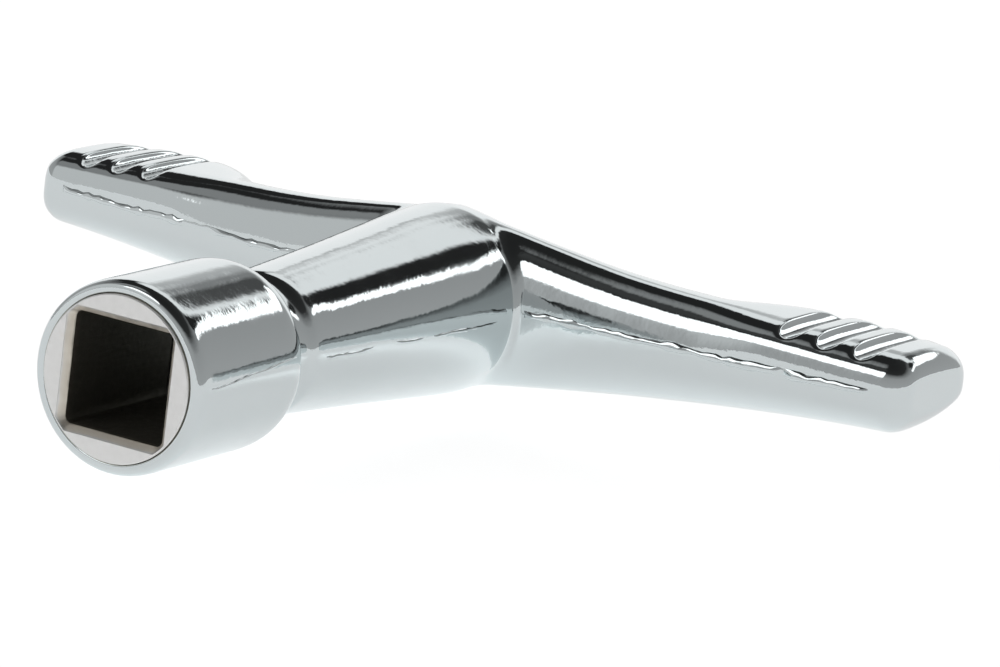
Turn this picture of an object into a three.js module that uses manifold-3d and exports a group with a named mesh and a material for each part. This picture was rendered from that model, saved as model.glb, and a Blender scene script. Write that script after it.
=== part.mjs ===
// A T-handle tuning key: a chromed die casting (barrel, flared shaft and two grip wings) that holds
// a steel socket insert with a square hole.
import * as THREE from "three";
import { mergeVertices } from "three/addons/utils/BufferGeometryUtils.js";
import Module from "manifold-3d";

const wasm = await Module();
wasm.setup();

// Driving dimensions in millimetres, and degrees for a turn. While a piece is being made, y runs
// along the shaft from the mouth of the socket, x along the handle, and z is up from the shaft's axis.

// Socket insert
const squareWidth = 6.1;
const squareCornerRadius = 0.35;
const leadInWidth = 0.35;
const leadInDepth = 0.4;
const cornerWall = 0.28;
const insertEdgeBreak = 0.12;
const insertClearance = 0.06;

// Barrel and neck
const barrelWall = 0.8;
const barrelLength = 11.2;
const socketFloor = 1.2;
const rimSetback = 0.1;
const rimRadius = 0.5;
const shoulderRadius = 1.3;
const shoulderTurn = 80;
const neckRadius = 3.85;
const neckWidth = 0.9;

// Shaft and hub
const shaftFrontRadius = 4;
const shaftFrontRound = 0.3;
const shaftFlarePower = 1.2;
const hubRadius = 5.55;
const hubDomeStart = 32.5;
const hubDomeLength = 5.4;

// Wings
const handleSpan = 57.9;
const wingRootHalfHeight = 5.2;
const wingTipHalfHeight = 1.95;
const wingTaperPower = 1.6;
const wingFrontAtHub = 31.8;
const wingFrontSweep = 2.5;
const wingBackAtHub = 38.4;
const wingBackAtPad = 44.2;
const wingBackAtTip = 43.3;
const wingBackPower = 2.5;
const wingBackCorner = 1.6;
const wingCrestSetback = 2.4;
const wingCrestPower = 2.3;
const wingTopRearPower = 1.9;
const tipRound = 1.4;

// Thumb pad with its grip grooves, on the upper face of each wing's tip
const padHeight = 2.95;
const padTipHeight = 2.5;
const padRise = 0.25;
const padStart = 20.3;
const padLeadIn = 4.5;
const padCrestSetback = 3.8;
const padFrontPower = 3.6;
const padRearPower = 4;
const padTipRearPower = 2.8;
const grooveCount = 3;
const groovePitch = 2.25;
const grooveMiddle = 23.6;
const grooveWidth = 1.35;
const grooveDepth = 0.6;

// Facets
const roundSegments = 60;
const sectionPoints = 36;
const spanSteps = 28;
const tipSteps = 5;
const edgeSteps = 5;
const flareSteps = 12;
const domeSteps = 9;
const grooveSegments = 24;
const cornerSegments = 5;
const mergeDistance = 1e-5;

// The insert leaves a wall round the square's corners, and the barrel a wall round the insert
const squareFlat = squareWidth / 2 - squareCornerRadius;
const insertRadius = squareFlat * Math.SQRT2 + squareCornerRadius + cornerWall;
const insertLength = barrelLength - socketFloor;
const barrelRadius = insertRadius + barrelWall;
const halfSpan = handleSpan / 2;

function smoothStep(from, to, x) {
  const t = Math.min(Math.max((x - from) / (to - from), 0), 1);
  return t * t * (3 - 2 * t);
}

function mix(a, b, t) {
  return a + (b - a) * t;
}

// The larger of two values, with a rounded change from one to the other
function softMax(a, b, blend) {
  const near = Math.max(blend - Math.abs(a - b), 0) / blend;
  return Math.max(a, b) + (near * near * blend) / 4;
}

function softMin(a, b, blend) {
  return -softMax(-a, -b, blend);
}

// A closed geometry as a solid that can be cut and joined
function solid(geometry) {
  const bare = new THREE.BufferGeometry();
  bare.setAttribute("position", geometry.getAttribute("position"));
  bare.setIndex(geometry.index);
  const merged = mergeVertices(bare, mergeDistance);
  return new wasm.Manifold(
    new wasm.Mesh({
      numProp: 3,
      vertProperties: merged.getAttribute("position").array,
      triVerts: new Uint32Array(merged.index.array),
    }),
  );
}

// A finished solid as a geometry to draw
function geometryOf(body) {
  const mesh = body.getMesh();
  const geometry = new THREE.BufferGeometry();
  geometry.setAttribute("position", new THREE.BufferAttribute(mesh.vertProperties, 3));
  geometry.setIndex(new THREE.BufferAttribute(mesh.triVerts, 1));
  geometry.computeVertexNormals();
  return geometry;
}

// Points of a rounded edge in the (radius, y) plane, angles in degrees
function roundedEdge(centreRadius, centreY, radius, fromAngle, toAngle) {
  return Array.from({ length: edgeSteps + 1 }, (_, i) => {
    const angle = THREE.MathUtils.degToRad(mix(fromAngle, toAngle, i / edgeSteps));
    return new THREE.Vector2(
      centreRadius + radius * Math.cos(angle),
      centreY + radius * Math.sin(angle),
    );
  });
}

// Barrel, neck, flared shaft and domed hub, turned about the shaft's axis
function turnedBody() {
  const rimCentre = barrelRadius - rimRadius;
  const shoulderCentre = barrelRadius - shoulderRadius;
  const shaftRoundCentre = shaftFrontRadius - shaftFrontRound;
  const shaftStart = barrelLength + neckWidth;
  const flare = Array.from({ length: flareSteps }, (_, i) => {
    const t = (i + 1) / flareSteps;
    const y = mix(shaftStart + shaftFrontRound, hubDomeStart, t);
    const radius = mix(shaftFrontRadius, hubRadius, Math.pow(t, shaftFlarePower));
    return new THREE.Vector2(radius, y);
  });
  const dome = Array.from({ length: domeSteps }, (_, i) => {
    const angle = ((i + 1) / domeSteps) * (Math.PI / 2);
    const radius = i + 1 === domeSteps ? 0 : hubRadius * Math.cos(angle);
    return new THREE.Vector2(radius, hubDomeStart + hubDomeLength * Math.sin(angle));
  });
  const profile = [
    new THREE.Vector2(0, rimSetback),
    ...roundedEdge(rimCentre, rimSetback + rimRadius, rimRadius, -90, 0),
    ...roundedEdge(shoulderCentre, barrelLength - shoulderRadius, shoulderRadius, 0, shoulderTurn),
    new THREE.Vector2(neckRadius, barrelLength + neckWidth / 2),
    ...roundedEdge(shaftRoundCentre, shaftStart + shaftFrontRound, shaftFrontRound, -90, 0),
    ...flare,
    ...dome,
  ];
  return solid(new THREE.LatheGeometry(profile, roundSegments));
}

// How far a distance x out along a wing has taken on the thumb pad's broad top, from 0 to 1
function padShare(x) {
  return smoothStep(padStart - padLeadIn, padStart, x);
}

// Where x lies between the thumb pad's start and the tip, below 0 nearer to the hub
function alongPad(x) {
  return (x - padStart) / (halfSpan - padStart);
}

// Height of the thumb pad's upper face above the shaft's axis, falling towards the tip
function padTop(x) {
  return mix(padHeight, padTipHeight, alongPad(x));
}

// The wing's rear edge in plan: it curves back from the hub to a rounded corner at the middle groove
// and comes in a little from there to the tip
function wingBack(x) {
  const inner = mix(wingBackAtHub, wingBackAtPad, Math.pow(x / grooveMiddle, wingBackPower));
  const beyond = (x - grooveMiddle) / (halfSpan - grooveMiddle);
  return softMin(inner, mix(wingBackAtPad, wingBackAtTip, beyond), wingBackCorner);
}

// One upright section of the wing at distance x from the shaft, inset all round at the tip
function wingSection(x, side, inset) {
  const out = x / halfSpan;
  const pad = padShare(x);
  const taper = Math.pow(1 - out, wingTaperPower);
  const halfHeight = mix(wingTipHalfHeight, wingRootHalfHeight, taper);
  const front = wingFrontAtHub + wingFrontSweep * out;
  const back = wingBack(x);
  const topCrest = front + mix(wingCrestSetback, padCrestSetback, pad);
  const underCrest = front + wingCrestSetback;
  const topHeight = softMax(halfHeight, padTop(x), padRise);
  const padRear = mix(padRearPower, padTipRearPower, Math.max(alongPad(x), 0));
  const topFrontPower = mix(wingCrestPower, padFrontPower, pad);
  const topRearPower = mix(wingTopRearPower, padRear, pad);
  return Array.from({ length: sectionPoints }, (_, i) => {
    const angle = (i / sectionPoints) * 2 * Math.PI;
    const up = Math.sin(angle) >= 0;
    const rear = Math.cos(angle) > 0;
    const topPower = rear ? topRearPower : topFrontPower;
    const power = 2 / (up ? topPower : wingCrestPower);
    const across = Math.sign(Math.cos(angle)) * Math.pow(Math.abs(Math.cos(angle)), power);
    const along = Math.sign(Math.sin(angle)) * Math.pow(Math.abs(Math.sin(angle)), power);
    const crest = up ? topCrest : underCrest;
    const reach = rear ? back - crest - inset : crest - front - inset;
    const height = (up ? topHeight : halfHeight) - inset;
    return new THREE.Vector3(side * x, crest + reach * across, height * along);
  });
}

// A skin over a row of sections, closed at both ends
function loft(sections) {
  const count = sections[0].length;
  const points = sections.flat();
  const faces = [];
  for (let ring = 0; ring + 1 < sections.length; ring++) {
    for (let i = 0; i < count; i++) {
      const a = ring * count + i;
      const b = ring * count + ((i + 1) % count);
      faces.push(a, b, a + count, b, b + count, a + count);
    }
  }
  for (const ring of [0, sections.length - 1]) {
    const middle = sections[ring].reduce((sum, p) => sum.add(p), new THREE.Vector3());
    points.push(middle.divideScalar(count));
    for (let i = 0; i < count; i++) {
      const a = ring * count + i;
      const b = ring * count + ((i + 1) % count);
      const end = points.length - 1;
      faces.push(...(ring === 0 ? [end, b, a] : [end, a, b]));
    }
  }
  return new THREE.BufferGeometry().setFromPoints(points).setIndex(faces);
}

// Both wings as one bar that passes through the hub
function crossBar() {
  const straight = Array.from({ length: spanSteps }, (_, i) => ({
    x: ((halfSpan - tipRound) * (i + 1)) / spanSteps,
    inset: 0,
  }));
  const rounded = Array.from({ length: tipSteps }, (_, i) => {
    const angle = ((i + 1) / tipSteps) * (Math.PI / 2);
    return {
      x: halfSpan - tipRound + tipRound * Math.sin(angle),
      inset: tipRound * (1 - Math.cos(angle)),
    };
  });
  const half = [...straight, ...rounded];
  const right = half.map(({ x, inset }) => wingSection(x, 1, inset));
  const left = half.map(({ x, inset }) => wingSection(x, -1, inset)).reverse();
  return solid(loft([...left, wingSection(0, 1, 0), ...right]));
}

// Round cutters for the grip grooves, lying along y across each thumb pad
function grooveCutters() {
  const radius = (grooveWidth * grooveWidth) / (8 * grooveDepth) + grooveDepth / 2;
  const cutters = [];
  for (const side of [-1, 1]) {
    for (let i = 0; i < grooveCount; i++) {
      const x = grooveMiddle + (i - (grooveCount - 1) / 2) * groovePitch;
      const length = 2 * (wingBackAtPad - wingFrontAtHub);
      const rod = new THREE.CylinderGeometry(radius, radius, length, grooveSegments);
      const y = (wingBackAtPad + wingFrontAtHub) / 2;
      rod.translate(side * x, y, padTop(x) - grooveDepth + radius);
      cutters.push(solid(rod));
    }
  }
  return cutters;
}

// The bore that the socket insert is pressed into
function insertBore() {
  const radius = insertRadius + insertClearance;
  const depth = insertLength + insertClearance;
  const bore = new THREE.CylinderGeometry(radius, radius, 2 * depth, roundSegments);
  return solid(bore);
}

function handleCasting() {
  let body = turnedBody().add(crossBar());
  for (const cutter of grooveCutters()) {
    body = body.subtract(cutter);
  }
  return geometryOf(body.subtract(insertBore()));
}

// The socket's square with its rounded corners
function squareShape() {
  const half = squareWidth / 2;
  const flat = squareFlat;
  const radius = squareCornerRadius;
  const shape = new THREE.Shape();
  shape.moveTo(half, -flat);
  shape.lineTo(half, flat);
  shape.absarc(flat, flat, radius, 0, Math.PI / 2, false);
  shape.lineTo(-flat, half);
  shape.absarc(-flat, flat, radius, Math.PI / 2, Math.PI, false);
  shape.lineTo(-half, -flat);
  shape.absarc(-flat, -flat, radius, Math.PI, 1.5 * Math.PI, false);
  shape.lineTo(flat, -half);
  shape.absarc(flat, -flat, radius, 1.5 * Math.PI, 2 * Math.PI, false);
  return shape;
}

// The square hole, right through the insert
function squareHole() {
  const hole = new THREE.ExtrudeGeometry(squareShape(), {
    depth: 2 * insertLength,
    bevelEnabled: false,
    curveSegments: cornerSegments,
  });
  hole.rotateX(-Math.PI / 2);
  hole.translate(0, -insertLength / 2, 0);
  return solid(hole);
}

// The sloping lead-in at the mouth: a four-sided pyramid with its wide end outside
function leadIn() {
  const overshoot = leadInDepth;
  const slope = leadInWidth / leadInDepth;
  const outer = squareWidth / 2 + leadInWidth + overshoot * slope;
  const inner = squareWidth / 2;
  const pyramid = new THREE.CylinderGeometry(
    inner * Math.SQRT2,
    outer * Math.SQRT2,
    leadInDepth + overshoot,
    4,
  );
  pyramid.rotateY(Math.PI / 4);
  pyramid.translate(0, (leadInDepth - overshoot) / 2, 0);
  return solid(pyramid);
}

function socketInsert() {
  const profile = [
    new THREE.Vector2(0, 0),
    new THREE.Vector2(insertRadius - insertEdgeBreak, 0),
    new THREE.Vector2(insertRadius, insertEdgeBreak),
    new THREE.Vector2(insertRadius, insertLength - insertEdgeBreak),
    new THREE.Vector2(insertRadius - insertEdgeBreak, insertLength),
    new THREE.Vector2(0, insertLength),
  ];
  const bush = solid(new THREE.LatheGeometry(profile, roundSegments));
  return geometryOf(bush.subtract(squareHole()).subtract(leadIn()));
}

function chrome() {
  return new THREE.MeshStandardMaterial({ color: 0xd3dadc, metalness: 1, roughness: 0.07 });
}

function socketSteel() {
  return new THREE.MeshStandardMaterial({ color: 0xb7b3aa, metalness: 1, roughness: 0.45 });
}

function piece(name, geometry, material) {
  const mesh = new THREE.Mesh(geometry, material);
  mesh.name = name;
  return mesh;
}

// The key lies flat, with the middle of its outline over the origin
const key = new THREE.Group();
key.add(piece("handle_casting", handleCasting(), chrome()));
key.add(piece("socket_insert", socketInsert(), socketSteel()));
const outline = new THREE.Box3().setFromObject(key);
const centre = outline.getCenter(new THREE.Vector3());
key.position.set(-centre.x, -centre.y, -outline.min.z);

const group = new THREE.Group();
group.add(key);

export default group;
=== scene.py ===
from math import cos, pi, radians, sin

import bmesh
import bpy
import numpy as np
from mathutils import Matrix, Vector


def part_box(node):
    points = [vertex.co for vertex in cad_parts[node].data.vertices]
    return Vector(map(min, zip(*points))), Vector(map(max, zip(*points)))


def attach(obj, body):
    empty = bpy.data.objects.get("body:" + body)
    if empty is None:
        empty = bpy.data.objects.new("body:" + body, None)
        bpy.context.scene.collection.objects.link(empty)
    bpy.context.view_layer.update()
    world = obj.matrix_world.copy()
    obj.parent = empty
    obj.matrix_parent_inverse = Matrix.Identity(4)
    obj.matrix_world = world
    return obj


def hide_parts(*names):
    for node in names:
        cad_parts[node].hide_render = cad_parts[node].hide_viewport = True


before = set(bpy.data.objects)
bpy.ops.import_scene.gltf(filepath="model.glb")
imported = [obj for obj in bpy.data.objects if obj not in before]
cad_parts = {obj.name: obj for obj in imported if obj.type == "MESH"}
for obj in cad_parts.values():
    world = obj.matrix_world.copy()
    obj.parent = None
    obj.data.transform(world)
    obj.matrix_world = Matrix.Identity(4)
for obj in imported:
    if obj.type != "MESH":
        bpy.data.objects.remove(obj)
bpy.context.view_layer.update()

mm = 0.001
castingBox = [np.array(corner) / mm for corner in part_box("handle_casting")]
insertBox = [np.array(corner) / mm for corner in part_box("socket_insert")]

# the key is shaped in millimetres: y runs from the mouth along the shaft, z is up from the shaft's axis
mouthY = insertBox[0][1]
axisZ = (insertBox[0][2] + insertBox[1][2]) / 2
keyPlace = Vector((0, mouthY, axisZ)) * mm
print("frame loaded, mouth at", round(mouthY, 2), "mm, axis", round(axisZ, 2), "mm up")


# helpers for modelling by hand
def deselectAll():
    if bpy.context.object and bpy.context.object.mode != "OBJECT":
        bpy.ops.object.mode_set(mode="OBJECT")
    bpy.ops.object.select_all(action="DESELECT")


def cutAcross(place, normal):
    bpy.ops.mesh.select_all(action="SELECT")
    bpy.ops.mesh.bisect(plane_co=place, plane_no=normal)


def pickFaces(piece, wanted):
    bpy.ops.mesh.select_all(action="DESELECT")
    bpy.ops.mesh.select_mode(type="FACE")
    shape = bmesh.from_edit_mesh(piece.data)
    for face in shape.faces:
        face.select_set(wanted(face.calc_center_median(), face.normal))
    shape.select_flush_mode()
    bmesh.update_edit_mesh(piece.data)


def readPoints(piece):
    points = np.empty(len(piece.data.vertices) * 3)
    piece.data.vertices.foreach_get("co", points)
    return points.reshape(-1, 3)


def writePoints(piece, points):
    piece.data.vertices.foreach_set("co", points.ravel())
    piece.data.update()


def subdivideSmooth(piece, levels):
    smooth = piece.modifiers.new("smooth", "SUBSURF")
    smooth.levels = levels
    smooth.render_levels = levels
    bpy.ops.object.modifier_apply(modifier=smooth.name)


def putInPlace(piece):
    # from millimetres about the mouth to metres in the frame
    piece.data.transform(Matrix.Translation(keyPlace) @ Matrix.Scale(mm, 4))
    bpy.ops.object.mode_set(mode="EDIT")
    bpy.ops.mesh.select_all(action="SELECT")
    bpy.ops.mesh.normals_make_consistent(inside=False)
    bpy.ops.object.mode_set(mode="OBJECT")
    bpy.ops.object.shade_smooth()


def mix(a, b, share):
    return a + (b - a) * share


def softStep(start, end, value):
    share = np.clip((value - start) / (end - start), 0, 1)
    return share * share * (3 - 2 * share)


def softMin(a, b, blend):
    near = np.maximum(blend - np.abs(a - b), 0) / blend
    return np.minimum(a, b) - near * near * blend / 4


def softMax(a, b, blend):
    return -softMin(-a, -b, blend)


def roundMax(a, b, radius):
    # inside of two faces, with the edge between them rounded
    inner = np.minimum(np.maximum(a, b) + radius, 0)
    return inner + np.hypot(np.maximum(a + radius, 0), np.maximum(b + radius, 0)) - radius


# the casting: barrel, neck, flared shaft, hub and grip wings
casting = {
    "skin": 0.03,               # kept inside the solid by this much
    "halfSpan": (castingBox[1][0] - castingBox[0][0]) / 2,
    "hubRadius": axisZ,
    "shaftStart": 12.4,
    "shaftFrontRadius": 4.0,
    "shaftFlare": 1.2,
    "domeStart": 32.5,
    "domeLength": 5.4,
    "domeBlend": 0.8,
    "junctionBlend": 0.45,
    "rootHalfHeight": 5.2,
    "tipHalfHeight": 1.95,
    "taper": 1.6,
    "frontAtHub": 31.8,
    "frontSweep": 2.5,
    "backAtHub": 38.4,
    "backAtPad": 44.2,
    "backAtTip": 43.3,
    "backPower": 2.5,
    "backCorner": 1.6,
    "crestSetback": 2.4,
    "crestPower": 2.3,
    "topRearPower": 1.9,
    "tipRound": 1.4,
    "padHeight": 2.95,
    "padTipHeight": 2.5,
    "padRise": 0.25,
    "padStart": 20.3,
    "padLeadIn": 4.5,
    "padCrestSetback": 3.8,
    "padFrontPower": 3.6,
    "padRearPower": 4.0,
    "padTipRearPower": 2.8,
    "grooves": (21.35, 23.6, 25.85),
    "grooveWidth": 1.35,
    "grooveDepth": 0.6,
    "grooveEdge": 0.16,
    "blockEdge": 5.6,           # half width of the block that the shaft is drawn out of
    "blockSetback": 0.35,
    "ringPoints": 24,           # points round the block's edge, which the shaft's rings then have
    "columns": (1.87, 3.73, 5.6, 6.3, 8, 10.3, 12.8, 15.2, 17.4, 19.2, 20.3, 21.35, 22.4, 23.6, 24.75,
                25.85, 26.8, 27.6, 28.3),
    "frontTurn": 62,            # how far round the section the front's edge lines lie
    "levels": 3,
    "settleStart": 14,          # from here to the next the rings give way to the true form
    "settleEnd": 15,
}

# rings of the turned part from the hub to the mouth and down the bore: distance from the mouth, radius
shaftRings = (
    (31.2, 5.4), (29.5, 5.25), (26, 4.94), (22, 4.61), (18, 4.3), (14.8, 4.09), (13.8, 4.04),    # shaft
    (13.42, 3.99), (13.24, 3.88), (13.0, 3.74), (12.4, 3.7), (11.6, 3.72), (11.28, 3.88),        # neck
    (11.0, 4.3), (10.62, 4.78), (10.1, 5.1), (9.45, 5.22), (8.7, 5.23),                          # shoulder
    (6, 5.23), (2, 5.23), (1.0, 5.23),                                                           # barrel
    (0.52, 5.2), (0.2, 5.05), (0.11, 4.85), (0.1, 4.62), (0.14, 4.53), (0.3, 4.51),              # rim
    (1, 4.51), (9.6, 4.51), (10.06, 4.5),                                                        # bore
)
barrelRadius = max(radius for y, radius in shaftRings if y < casting["shaftStart"])


def backEdge(x):
    # rear edge in plan: a rounded corner at the middle groove
    c = casting
    middle = c["grooves"][1]
    inner = mix(c["backAtHub"], c["backAtPad"], (x / middle) ** c["backPower"])
    outer = mix(c["backAtPad"], c["backAtTip"], (x - middle) / (c["halfSpan"] - middle))
    return softMin(inner, outer, c["backCorner"])


def alongPad(x):
    return (x - casting["padStart"]) / (casting["halfSpan"] - casting["padStart"])


def padTop(x):
    return mix(casting["padHeight"], casting["padTipHeight"], alongPad(x))


def wingSection(x):
    # edges, crests, heights and roundness of the wing at distance x from the shaft
    c = casting
    out = x / c["halfSpan"]
    pad = softStep(c["padStart"] - c["padLeadIn"], c["padStart"], x)
    half = mix(c["tipHalfHeight"], c["rootHalfHeight"], (1 - np.clip(out, 0, 1)) ** c["taper"])
    front = c["frontAtHub"] + c["frontSweep"] * out
    padRear = mix(c["padRearPower"], c["padTipRearPower"], np.clip(alongPad(x), 0, 1))
    return {
        "front": front,
        "back": backEdge(x),
        "topCrest": front + mix(c["crestSetback"], c["padCrestSetback"], pad),
        "underCrest": front + c["crestSetback"],
        "topHeight": softMax(half, padTop(x), c["padRise"]),
        "underHeight": half,
        "topFrontPower": mix(c["crestPower"], c["padFrontPower"], pad),
        "topRearPower": mix(c["topRearPower"], padRear, pad),
        "underPower": c["crestPower"] + 0 * x,
    }


def wingField(x, y, z):
    # distance outside the grip wings
    s = wingSection(np.abs(x))
    up = z >= 0
    crest = np.where(up, s["topCrest"], s["underCrest"])
    height = np.where(up, s["topHeight"], s["underHeight"])
    rear = y > crest
    power = np.where(up, np.where(rear, s["topRearPower"], s["topFrontPower"]), s["underPower"])
    reach = np.where(rear, s["back"] - crest, crest - s["front"])
    across = np.maximum(np.abs(y - crest) / reach, 1e-4)
    rise = np.maximum(np.abs(z) / height, 1e-4)
    gauge = (across**power + rise**power) ** (1 / power)
    slopeY = (across / gauge) ** (power - 1) / reach
    slopeZ = (rise / gauge) ** (power - 1) / height
    side = (gauge - 1) / np.hypot(slopeY, slopeZ)
    return roundMax(side, np.abs(x) - casting["halfSpan"], casting["tipRound"])


def shaftField(x, y, z):
    # distance outside the flared shaft and its domed end
    c = casting
    past = y - c["domeStart"]
    along = np.maximum(1 + softMin(past, 0 * y, c["domeBlend"] * 4) / (c["domeStart"] - c["shaftStart"]), 0)
    radius = mix(c["shaftFrontRadius"], c["hubRadius"], along ** c["shaftFlare"])
    over = softMax(past, 0 * y, c["domeBlend"]) / c["domeLength"] * c["hubRadius"]
    return np.sqrt(x * x + z * z + over * over) - radius


def castingField(x, y, z):
    body = softMin(wingField(x, y, z), shaftField(x, y, z), casting["junctionBlend"])
    depth = casting["grooveDepth"]
    rodRadius = casting["grooveWidth"] ** 2 / (8 * depth) + depth / 2
    for place in casting["grooves"]:
        rodHeight = padTop(place) - depth + rodRadius
        rod = np.hypot(np.abs(x) - place, np.maximum(rodHeight - z, 0)) - rodRadius
        body = softMax(body, -rod, casting["grooveEdge"])
    return body + casting["skin"]


def settle(points, share, rounds=10):
    # moves each point square to the surface until it lies on the casting's true form
    nudge = 1e-3
    leastSlope = 0.2
    longestStep = 0.6
    for _ in range(rounds):
        x, y, z = points.T
        away = castingField(x, y, z)
        slope = np.stack([
            castingField(x + nudge, y, z) - castingField(x - nudge, y, z),
            castingField(x, y + nudge, z) - castingField(x, y - nudge, z),
            castingField(x, y, z + nudge) - castingField(x, y, z - nudge),
        ], axis=1) / (2 * nudge)
        steep = np.maximum((slope * slope).sum(axis=1), leastSlope)
        step = np.clip(away / steep, -longestStep, longestStep)
        points = points - slope * (step * share)[:, None]
    return points


def makeCasting():
    c = casting
    deselectAll()
    # a bar with its lattice of cuts, later the wings
    bpy.ops.mesh.primitive_cube_add(size=2)
    bar = bpy.context.object
    bar.name = "handle_casting_chrome"
    bpy.ops.object.mode_set(mode="EDIT")
    bpy.ops.transform.resize(value=(c["halfSpan"], 1, 1))
    for x in c["columns"]:
        cutAcross((x, 0, 0), (1, 0, 0))
        cutAcross((-x, 0, 0), (1, 0, 0))
    cutAcross((0, 0, 0), (1, 0, 0))
    cutAcross((0, 0, 0), (0, 1, 0))
    for w in range(-2, 3):
        cutAcross((0, 0, w / 3), (0, 0, 1))
    # the block on the front that the shaft is drawn out of
    pickFaces(bar, lambda middle, normal: normal.y < -0.9 and abs(middle.x) < c["blockEdge"])
    bpy.ops.object.mode_set(mode="OBJECT")
    shapeBar(bar)
    print("wings shaped")
    # the round ring is drawn out to the mouth and turned back into the bore
    bpy.ops.object.mode_set(mode="EDIT")
    # smoothing draws a ring of so few points in by this share
    roundness = (4 + 2 * cos(2 * pi / c["ringPoints"])) / 6
    lastY, lastRadius = c["domeStart"] - c["blockSetback"], c["hubRadius"]
    for y, radius in shaftRings:
        bpy.ops.mesh.extrude_region_move(TRANSFORM_OT_translate={"value": (0, y - lastY, 0)})
        grow = radius / lastRadius / (roundness if lastRadius == c["hubRadius"] else 1)
        bpy.ops.transform.resize(value=(grow, 1, grow), center_override=(0, y, 0))
        lastY, lastRadius = y, radius
    bpy.ops.mesh.select_all(action="SELECT")
    bpy.ops.mesh.normals_make_consistent(inside=False)
    bpy.ops.object.mode_set(mode="OBJECT")
    print("shaft and barrel drawn out")
    subdivideSmooth(bar, c["levels"])
    points = readPoints(bar)
    share = softStep(c["settleStart"], c["settleEnd"], points[:, 1])
    writePoints(bar, settle(points, share))
    putInPlace(bar)
    print("casting settled,", len(bar.data.polygons), "faces")
    return bar


def shapeBar(bar):
    # lattice places become places round each wing section, and the front block becomes round
    c = casting
    lattice = readPoints(bar)
    x, u, w = lattice.T
    s = wingSection(np.abs(x))
    turn = radians(c["frontTurn"])
    angle = np.where(u < -0.5, w * turn, np.where(u > 0.5, pi - w * turn, np.sign(w) * pi / 2))
    up = w >= 0
    topPower = np.where(u > 0.5, s["topRearPower"], s["topFrontPower"])
    power = 2 / np.where(up, topPower, s["underPower"])
    crest = np.where(up, s["topCrest"], s["underCrest"])
    height = np.where(up, s["topHeight"], s["underHeight"])
    reach = np.where(u > 0.5, s["back"] - crest, crest - s["front"])
    across = np.sign(np.cos(angle)) * np.abs(np.cos(angle)) ** power
    rise = np.sign(np.sin(angle)) * np.abs(np.sin(angle)) ** power
    endMiddle = (np.abs(u) < 0.5) & (np.abs(w) < 0.9)
    y = np.where(np.abs(u) < 0.5, crest, crest - reach * across)
    z = np.where(endMiddle, height * w, height * rise)
    # the square block turned into a round one
    aside = x / c["blockEdge"]
    block = (u < -0.5) & (np.abs(aside) < 1.001)
    size = np.maximum(np.abs(aside), np.abs(w))
    sideways = np.abs(aside) >= np.abs(w)
    ratio = np.where(sideways, w / np.where(aside == 0, 1, aside), aside / np.where(w == 0, 1, w))
    around = np.where(sideways, ratio * pi / 4, pi / 2 - ratio * pi / 4)
    sign = np.where(sideways, np.sign(aside), np.sign(w))
    blockX = sign * size * np.cos(around) * c["hubRadius"]
    blockZ = sign * size * np.sin(around) * c["hubRadius"]
    points = np.stack([
        np.where(block, blockX, x),
        np.where(block, c["domeStart"] - c["blockSetback"], y),
        np.where(block, blockZ, z),
    ], axis=1)
    writePoints(bar, points)


# the raised flash that the two halves of the mould left along the key's sides
flash = {
    "step": 0.14,
    "depth": 0.09,              # how deep the strip is rooted in the casting
    "rootShare": 0.7,           # width of the root against the strip's
    "foot": 0.015,              # how far its feet and its gaps lie below the skin
    "gap": 0.01,
    "gapSteps": 14,             # steps between one change from standing to gap and the next
    "gapSharpness": 3,
    "endSteps": 4,              # steps over which its ends fade out
    # unevenness of its width, height and course: size, and steps from one turn to the next
    "widthWobble": ((0.25, 3), (0.2, 9)),
    "heightWobble": ((0.3, 4),),
    "courseWobble": ((0.06, 12), (0.02, 3)),
    "wingRise": 0.5,            # how far above mid height it runs on the wings
    "barrelTurn": (4.8, 11.4),  # degrees above mid height at the barrel's front and rear
    # across the strip from its lower to its upper foot: aside in half widths, up in heights
    "profile": ((-1, -0.25), (-0.85, 0.5), (-0.4, 1), (0.25, 0.6), (0.9, 0.2), (1, -0.25)),
    "zones": {                  # start, end, half width, height, and the share of its length that stands up
        "barrel": (1.2, 9.6, 0.10, 0.06, 0.8),
        "shaft": (14.2, 30.6, 0.12, 0.07, 0.75),
        "wing": (6.0, 26.9, 0.27, 0.19, 0.93),
    },
}


def flashPath(zone, side, places):
    # points on the casting's side near mid height, and the way out from there
    if zone == "wing":
        slope = casting["frontSweep"] / casting["halfSpan"]
        front = casting["frontAtHub"] + slope * places
        spots = np.stack([places * side, front, flash["wingRise"] + 0 * places], axis=1)
        spots = settle(spots, np.ones(len(places)))
        outward = np.stack([slope * side + 0 * places, -1 + 0 * places, 0 * places], axis=1)
    elif zone == "shaft":
        spots = np.stack([casting["hubRadius"] * side + 0 * places, places, 0 * places], axis=1)
        spots = settle(spots, np.ones(len(places)))
        outward = np.stack([side + 0 * places, -0.08 + 0 * places, 0 * places], axis=1)
    else:
        turn = np.radians(np.interp(places, places[[0, -1]], flash["barrelTurn"]))
        outward = np.stack([side * np.cos(turn), 0 * places, np.sin(turn)], axis=1)
        spots = outward * barrelRadius + np.outer(places, (0, 1, 0))
    return spots, outward


def wobble(chance, count, spacing):
    # a smooth uneven run of values between -1 and 1
    knots = chance.uniform(-1, 1, count // spacing + 2)
    return np.interp(np.arange(count) / spacing, np.arange(len(knots)), knots)


def uneven(chance, count, name):
    return sum(size * wobble(chance, count, steps) for size, steps in flash[name])


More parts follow.
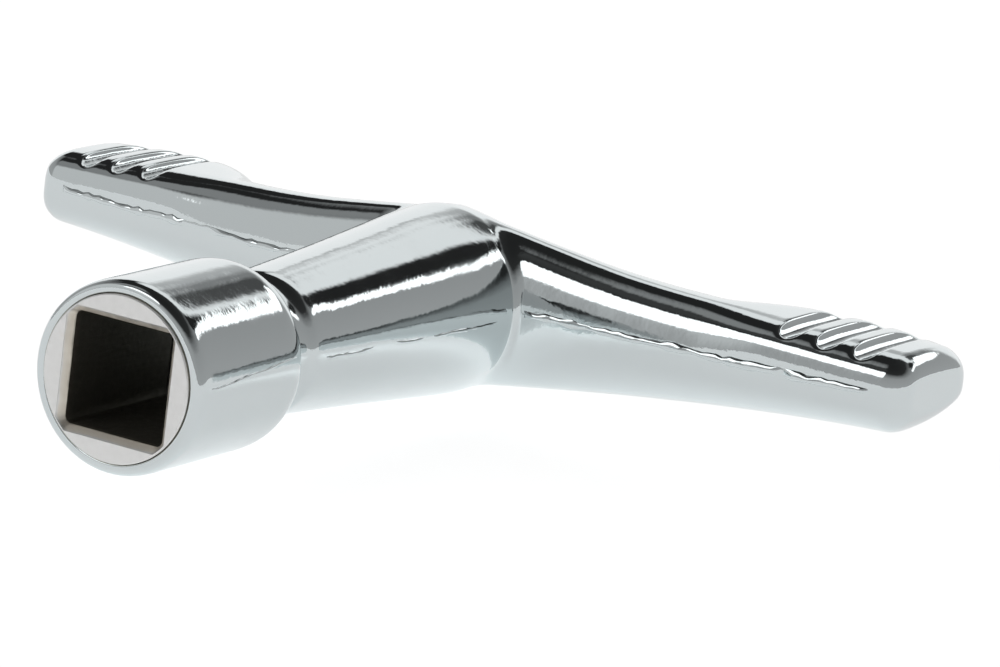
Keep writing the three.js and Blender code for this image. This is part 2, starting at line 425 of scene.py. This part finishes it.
def makeFlash(zone, side, seed):
    start, end, halfWidth, height, standing = flash["zones"][zone]
    chance = np.random.default_rng(seed)
    places = np.arange(start, end, flash["step"])
    count = len(places)
    spots, outward = flashPath(zone, side, places)
    stands = wobble(chance, count, flash["gapSteps"]) + standing * 2 - 1
    lift = np.clip(stands * flash["gapSharpness"], 0, 1)
    fromEnd = np.minimum(np.arange(count), count - 1 - np.arange(count))
    lift *= np.minimum(1, fromEnd / flash["endSteps"])
    width = halfWidth * (0.8 + uneven(chance, count, "widthWobble"))
    rise = height * lift * (0.85 + uneven(chance, count, "heightWobble")) - flash["gap"] * (1 - lift)
    drift = uneven(chance, count, "courseWobble")
    deselectAll()
    bpy.ops.mesh.primitive_circle_add(vertices=len(flash["profile"]) + 2, radius=halfWidth)
    strip = bpy.context.object
    bpy.ops.object.mode_set(mode="EDIT")
    bpy.ops.mesh.select_mode(type="EDGE")
    bpy.ops.mesh.select_all(action="SELECT")
    for _ in places[1:]:
        bpy.ops.mesh.extrude_region_move(TRANSFORM_OT_translate={"value": (0, 0, 0)})
    bpy.ops.mesh.select_all(action="SELECT")
    bpy.ops.mesh.fill_holes(sides=0)
    bpy.ops.object.mode_set(mode="OBJECT")
    # round the strip: its profile, then the root below the skin
    ring = []
    for aside, up in flash["profile"]:
        out = np.where(up > 0, rise * up, -flash["foot"] + 0 * rise)
        ring.append(spots + outward * out[:, None] + np.outer(drift + aside * width, (0, 0, 1)))
    for aside in (flash["rootShare"], -flash["rootShare"]):
        ring.append(spots - outward * flash["depth"] + np.outer(drift + aside * width, (0, 0, 1)))
    writePoints(strip, np.stack(ring, axis=1).reshape(-1, 3))
    putInPlace(strip)
    return strip


def makeAllFlash():
    strips = []
    for n, zone in enumerate(flash["zones"], 1):
        strips += [makeFlash(zone, side, 7 * n + side) for side in (-1, 1)]
    deselectAll()
    for strip in strips:
        strip.select_set(True)
    bpy.context.view_layer.objects.active = strips[0]
    bpy.ops.object.join()
    strips[0].name = "handle_casting_flash"
    print("flash laid,", len(strips[0].data.polygons), "faces")
    return strips[0]


# the pressed-in socket with its square hole
insert = {
    "radius": (insertBox[1][0] - insertBox[0][0]) / 2 + 0.045,   # pressed in, with a hair's gap
    "length": insertBox[1][1] - insertBox[0][1],
    "edgeBreak": 0.06,
    "smoothAngle": 32,
    "square": 6.1,
    "corner": 0.35,
    "leadIn": 0.35,
    "leadInDepth": 0.4,
    "leadInCorner": 0.1,
    "leastFace": 0.04,          # end face left where the lead-in's corners reach the rim
    "holeLoops": (1.2, 6),      # rings down the hole
    "edgeLoops": (0.01, 0.02, 0.05),   # rings that keep the rim's, mouth's and lead-in's edges crisp
    "points": 128,
}


def squareOutline(width, corner):
    # as many points as the rim has, at the same turns, on a square with round corners
    points = []
    flat = width / 2 - corner
    for i in range(insert["points"]):
        turn = 2 * pi * i / insert["points"]
        ray = Vector((cos(turn), sin(turn)))
        reach = width / 2 / max(abs(ray.x), abs(ray.y))
        spot = ray * reach
        if min(abs(spot.x), abs(spot.y)) > flat:
            centre = Vector((flat if ray.x > 0 else -flat, flat if ray.y > 0 else -flat))
            along = ray.dot(centre)
            spot = ray * (along + (along * along - centre.length_squared + corner * corner) ** 0.5)
        points.append(spot)
    return points


def roundOutline(radius):
    turns = [2 * pi * i / insert["points"] for i in range(insert["points"])]
    return [Vector((cos(turn), sin(turn))) * radius for turn in turns]


def makeInsert():
    i = insert
    outer = i["square"] + 2 * i["leadIn"]
    rim = i["radius"] - i["edgeBreak"]
    reach = rim - i["leastFace"]
    mouth = [p * min(1, reach / p.length) for p in squareOutline(outer, i["leadInCorner"])]
    hole = squareOutline(i["square"], i["corner"])
    rimLoop, mouthLoop, leadInLoop = i["edgeLoops"]
    rings = [(hole, i["length"])]
    rings += [(hole, depth) for depth in reversed(i["holeLoops"])]
    rings += [
        (hole, i["leadInDepth"] + leadInLoop), (hole, i["leadInDepth"]), (mouth, mouthLoop), (mouth, 0),
        (roundOutline(rim), 0), (roundOutline(rim + rimLoop), rimLoop),
        (roundOutline(i["radius"]), i["edgeBreak"]),
        (roundOutline(i["radius"]), i["length"] - i["edgeBreak"]), (roundOutline(rim), i["length"]),
    ]
    deselectAll()
    bpy.ops.mesh.primitive_circle_add(vertices=i["points"], radius=i["radius"])
    bush = bpy.context.object
    bush.name = "socket_insert_steel"
    bpy.ops.object.mode_set(mode="EDIT")
    bpy.ops.mesh.select_mode(type="EDGE")
    bpy.ops.mesh.select_all(action="SELECT")
    for _ in rings[1:]:
        bpy.ops.mesh.extrude_region_move(TRANSFORM_OT_translate={"value": (0, 0, 0)})
    bpy.ops.object.mode_set(mode="OBJECT")
    places = [(p.x, y, p.y) for outline, y in rings for p in outline]
    writePoints(bush, np.array(places))
    bpy.ops.object.mode_set(mode="EDIT")
    # the two end rings meet in the bush's inner end face
    bpy.ops.mesh.select_all(action="DESELECT")
    shape = bmesh.from_edit_mesh(bush.data)
    for edge in shape.edges:
        if edge.is_boundary:
            edge.select_set(True)
    bmesh.update_edit_mesh(bush.data)
    bpy.ops.mesh.bridge_edge_loops()
    bpy.ops.object.mode_set(mode="OBJECT")
    putInPlace(bush)
    bpy.ops.object.shade_smooth_by_angle(angle=radians(insert["smoothAngle"]))
    print("socket insert made,", len(bush.data.polygons), "faces")
    return bush


# materials
def newMaterial(name):
    material = bpy.data.materials.new(name)
    material.use_nodes = True
    nodes = material.node_tree.nodes
    return material, nodes, material.node_tree.links, nodes["Principled BSDF"]


def noiseAt(nodes, links, coords, scale, detail):
    noise = nodes.new("ShaderNodeTexNoise")
    noise.inputs["Scale"].default_value = scale
    noise.inputs["Detail"].default_value = detail
    links.new(coords, noise.inputs["Vector"])
    return noise.outputs["Fac"]


def bumpFrom(nodes, links, height, strength, distance, under=None):
    bump = nodes.new("ShaderNodeBump")
    bump.inputs["Strength"].default_value = strength
    bump.inputs["Distance"].default_value = distance
    links.new(height, bump.inputs["Height"])
    if under:
        links.new(under, bump.inputs["Normal"])
    return bump.outputs["Normal"]


def rampTo(nodes, links, value, low, high, fromLow, fromHigh):
    ramp = nodes.new("ShaderNodeMapRange")
    ramp.inputs["From Min"].default_value = fromLow
    ramp.inputs["From Max"].default_value = fromHigh
    ramp.inputs["To Min"].default_value = low
    ramp.inputs["To Max"].default_value = high
    links.new(value, ramp.inputs["Value"])
    return ramp.outputs["Result"]


def mathNode(nodes, links, operation, first, second):
    node = nodes.new("ShaderNodeMath")
    node.operation = operation
    links.new(first, node.inputs[0])
    if isinstance(second, (int, float)):
        node.inputs[1].default_value = second
    else:
        links.new(second, node.inputs[1])
    return node.outputs[0]


def fillRamp(ramp, stops):
    elements = ramp.color_ramp.elements
    while len(elements) < len(stops):
        elements.new(0.5)
    for element, (place, colour) in zip(elements, stops):
        element.position = place
        element.color = (*colour, 1)


chrome = {
    "colour": (0.68, 0.73, 0.74, 1),
    # noise scale and detail, bump strength and depth: broad waves, ripples, frayed edges of reflections
    "marks": ((260, 1, 0.10, 0.0004), (1100, 2, 0.07, 0.00012), (4200, 3, 0.10, 0.00003)),
    "cloud": (400, 4),
    "roughness": (0.03, 0.09),
}


def chromePlate():
    material, nodes, links, shader = newMaterial("chrome_plate")
    shader.inputs["Base Color"].default_value = chrome["colour"]
    shader.inputs["Metallic"].default_value = 1
    coords = nodes.new("ShaderNodeTexCoord").outputs["Object"]
    normal = None
    for scale, detail, strength, depth in chrome["marks"]:
        marks = noiseAt(nodes, links, coords, scale, detail)
        normal = bumpFrom(nodes, links, marks, strength, depth, normal)
    links.new(normal, shader.inputs["Normal"])
    cloud = noiseAt(nodes, links, coords, *chrome["cloud"])
    links.new(rampTo(nodes, links, cloud, *chrome["roughness"], 0.35, 0.7), shader.inputs["Roughness"])
    return material


steel = {
    "metallic": 0.85,
    "colourAndShadeDepth": 0.002,       # metres from the mouth over which the colours and the hole's painted shade run
    # dull plating on the end face, a worn beige lead-in, and painted shade that makes the hole darker
    # further in
    "coloursAndHoleShade": ((0.08, (0.93, 0.93, 0.92)), (0.12, (0.90, 0.86, 0.78)), (0.24, (0.86, 0.80, 0.70)),
                (0.30, (0.24, 0.22, 0.18)), (0.55, (0.17, 0.16, 0.135))),
    "blotch": (500, 3),
    "unevenness": 0.12,
    "grain": (2600, 5),
    "roughness": (0.38, 0.6),
    "scratch": (5200, 4),
    "scratchStretch": (1, 0.08, 1),
}


def socketSteel():
    material, nodes, links, shader = newMaterial("socket_steel")
    shader.inputs["Metallic"].default_value = steel["metallic"]
    coords = nodes.new("ShaderNodeTexCoord").outputs["Object"]
    grain = noiseAt(nodes, links, coords, *steel["grain"])
    blotch = noiseAt(nodes, links, coords, *steel["blotch"])
    parts = nodes.new("ShaderNodeSeparateXYZ")
    links.new(coords, parts.inputs[0])
    mouth = keyPlace.y
    depth = rampTo(nodes, links, parts.outputs["Y"], 0, 1, mouth, mouth + steel["colourAndShadeDepth"])
    patchy = mathNode(nodes, links, "MULTIPLY", blotch, steel["unevenness"])
    # painted shade: the colour turns dark with depth down the hole, after the face's and lead-in's own
    # colours
    coloursAndHoleShade = nodes.new("ShaderNodeValToRGB")
    fillRamp(coloursAndHoleShade, steel["coloursAndHoleShade"])
    links.new(mathNode(nodes, links, "ADD", patchy, depth), coloursAndHoleShade.inputs["Fac"])
    links.new(coloursAndHoleShade.outputs["Color"], shader.inputs["Base Color"])
    links.new(rampTo(nodes, links, grain, *steel["roughness"], 0.3, 0.7), shader.inputs["Roughness"])
    # scratches drawn along the hole, and grain
    stretch = nodes.new("ShaderNodeMapping")
    stretch.inputs["Scale"].default_value = steel["scratchStretch"]
    links.new(coords, stretch.inputs["Vector"])
    scratch = noiseAt(nodes, links, stretch.outputs["Vector"], *steel["scratch"])
    normal = bumpFrom(nodes, links, scratch, 0.35, 0.00004)
    links.new(bumpFrom(nodes, links, grain, 0.2, 0.00006, normal), shader.inputs["Normal"])
    return material


floorPaint = {
    "colour": (0.9, 0.9, 0.9, 1),
    "roughness": 0.9,
    "specular": 0.1,
    # what the camera and the metal see is lifted to white, and the shadow stays
    "lifts": (("Is Camera Ray", 0.8), ("Is Glossy Ray", 0.58), ("Is Transmission Ray", 0.58)),
}


def paleFloor():
    material, nodes, links, shader = newMaterial("pale_floor")
    shader.inputs["Base Color"].default_value = floorPaint["colour"]
    shader.inputs["Roughness"].default_value = floorPaint["roughness"]
    shader.inputs["Specular IOR Level"].default_value = floorPaint["specular"]
    path = nodes.new("ShaderNodeLightPath")
    lift = None
    for ray, level in floorPaint["lifts"]:
        seen = mathNode(nodes, links, "MULTIPLY", path.outputs[ray], level)
        lift = mathNode(nodes, links, "ADD", lift, seen) if lift else seen
    shader.inputs["Emission Color"].default_value = (1, 1, 1, 1)
    links.new(lift, shader.inputs["Emission Strength"])
    return material


# the studio: white sweep behind and below, dark ceiling, lamps and panels that show as bands in the chrome
studio = {
    "floorSize": 3.0,
    "panelPower": 4,            # how square the panels' corners are
    # brightness of the room from level ground up to overhead
    "room": ((0.0, 0.42), (0.45, 0.36), (0.62, 0.2), (0.75, 0.03), (1.0, 0.02)),
    # towards (degrees right of straight back, degrees up), half sizes and soft edge in degrees, brightness
    "panels": (
        ((-30, 2), (34, 22), 4, 1.0),       # white sweep behind
        ((-40, 41), (12, 17), 3, 0.02),     # dark ceiling behind and to the left
        ((-60, 62), (22, 16), 4, 0.02),
        ((-134, 60), (16, 7), 6, 0.05),
        ((-11, 35), (19, 10), 3, 0.95),     # pale panel behind, with a dark beam that slopes across it
        ((-19, 24), (7, 4.5), 4, 0.5),
        ((-12, 28.2), (7, 4.8), 4, 0.25),
        ((-4, 31.4), (7, 4.4), 3, 0.08),
        ((19, 36), (7, 5), 3, 0.02),
        ((8, 27.4), (10, 4.2), 0.6, 1.7),   # strip lamps
        ((25, 29.3), (8, 2.3), 0.6, 1.7),
        ((-108, 57), (12, 18), 6, 0.26),    # grey wall high on the left
        ((-138, 18), (24, 22), 8, 0.62),    # pale wall on the left
        ((-154, 36), (13, 12), 2, 1.7),     # front lamp
    ),
}


def makeWorld():
    world = bpy.data.worlds.new("studio")
    bpy.context.scene.world = world
    world.use_nodes = True
    nodes, links = world.node_tree.nodes, world.node_tree.links
    direction = nodes.new("ShaderNodeTexCoord").outputs["Generated"]
    parts = nodes.new("ShaderNodeSeparateXYZ")
    links.new(direction, parts.inputs[0])
    ramp = nodes.new("ShaderNodeValToRGB")
    fillRamp(ramp, [(height, (level, level, level)) for height, level in studio["room"]])
    links.new(parts.outputs["Z"], ramp.inputs["Fac"])
    colour = ramp.outputs["Color"]
    for panel in studio["panels"]:
        colour = hangPanel(nodes, links, direction, colour, *panel)
    links.new(colour, nodes["Background"].inputs["Color"])
    print("studio world lit")


def dotWith(nodes, links, vector, axis):
    dot = nodes.new("ShaderNodeVectorMath")
    dot.operation = "DOT_PRODUCT"
    dot.inputs[1].default_value = axis
    links.new(vector, dot.inputs[0])
    return dot.outputs["Value"]


def hangPanel(nodes, links, direction, colour, towards, halfSize, softEdge, level):
    # a rounded panel far away: how far a direction lies to the panel's side and above it
    turn, rise = radians(towards[0]), radians(towards[1])
    ahead = Vector((sin(turn) * cos(rise), cos(turn) * cos(rise), sin(rise)))
    aside = Vector((cos(turn), -sin(turn), 0))
    power = studio["panelPower"]
    reaches = []
    for axis, half in ((aside, halfSize[0]), (aside.cross(ahead), halfSize[1])):
        along = dotWith(nodes, links, direction, axis / sin(radians(half)))
        reaches.append(mathNode(nodes, links, "POWER", along, power))
    total = mathNode(nodes, links, "ADD", *reaches)
    gauge = mathNode(nodes, links, "POWER", total, 1 / power)
    mask = nodes.new("ShaderNodeMapRange")
    mask.interpolation_type = "SMOOTHSTEP"
    soft = softEdge / min(halfSize)
    mask.inputs["From Min"].default_value = 1 + soft / 2
    mask.inputs["From Max"].default_value = 1 - soft / 2
    links.new(gauge, mask.inputs["Value"])
    inFront = mathNode(nodes, links, "GREATER_THAN", dotWith(nodes, links, direction, ahead), 0)
    share = mathNode(nodes, links, "MULTIPLY", mask.outputs["Result"], inFront)
    blend = nodes.new("ShaderNodeMix")
    blend.data_type = "RGBA"
    # a colour mix has its share at socket 0, its two colours at 6 and 7 and its result at 2
    blend.inputs[7].default_value = (level, level, level, 1)
    links.new(share, blend.inputs[0])
    links.new(colour, blend.inputs[6])
    return blend.outputs[2]


def makeFloor():
    deselectAll()
    bpy.ops.mesh.primitive_grid_add(x_subdivisions=2, y_subdivisions=2, size=studio["floorSize"])
    floor = bpy.context.object
    floor.name = "studio_floor"
    floor.data.materials.append(paleFloor())


view = {
    "lens": 198.0,
    "sensor": 36,
    "azimuth": 28.41,
    "elevation": 12.97,
    "roll": 7.42,
    "aim": (7.28, 27.47, 0.3),     # from the middle of the mouth
    "distance": 305.0,
}


def makeCamera():
    azimuth, elevation = radians(view["azimuth"]), radians(view["elevation"])
    away = Vector((sin(azimuth) * cos(elevation), -cos(azimuth) * cos(elevation), sin(elevation)))
    data = bpy.data.cameras.new("photo_view")
    data.lens = view["lens"]
    data.sensor_width = view["sensor"]
    camera = bpy.data.objects.new("photo_view", data)
    bpy.context.scene.collection.objects.link(camera)
    camera.location = keyPlace + (Vector(view["aim"]) + away * view["distance"]) * mm
    level = away.to_track_quat("Z", "Y").to_matrix()
    camera.rotation_euler = (level @ Matrix.Rotation(radians(view["roll"]), 3, "Z")).to_euler()
    bpy.context.scene.camera = camera
    print("camera set")


makeCamera()
makeFloor()
makeWorld()
bpy.context.scene.view_settings.view_transform = "Standard"

handle = makeCasting()
handle.data.materials.append(chromePlate())
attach(handle, "root")
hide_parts("handle_casting")

ridge = makeAllFlash()
ridge.data.materials.append(handle.data.materials[0])
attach(ridge, "root")

bush = makeInsert()
bush.data.materials.append(socketSteel())
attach(bush, "root")
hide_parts("socket_insert")

deselectAll()
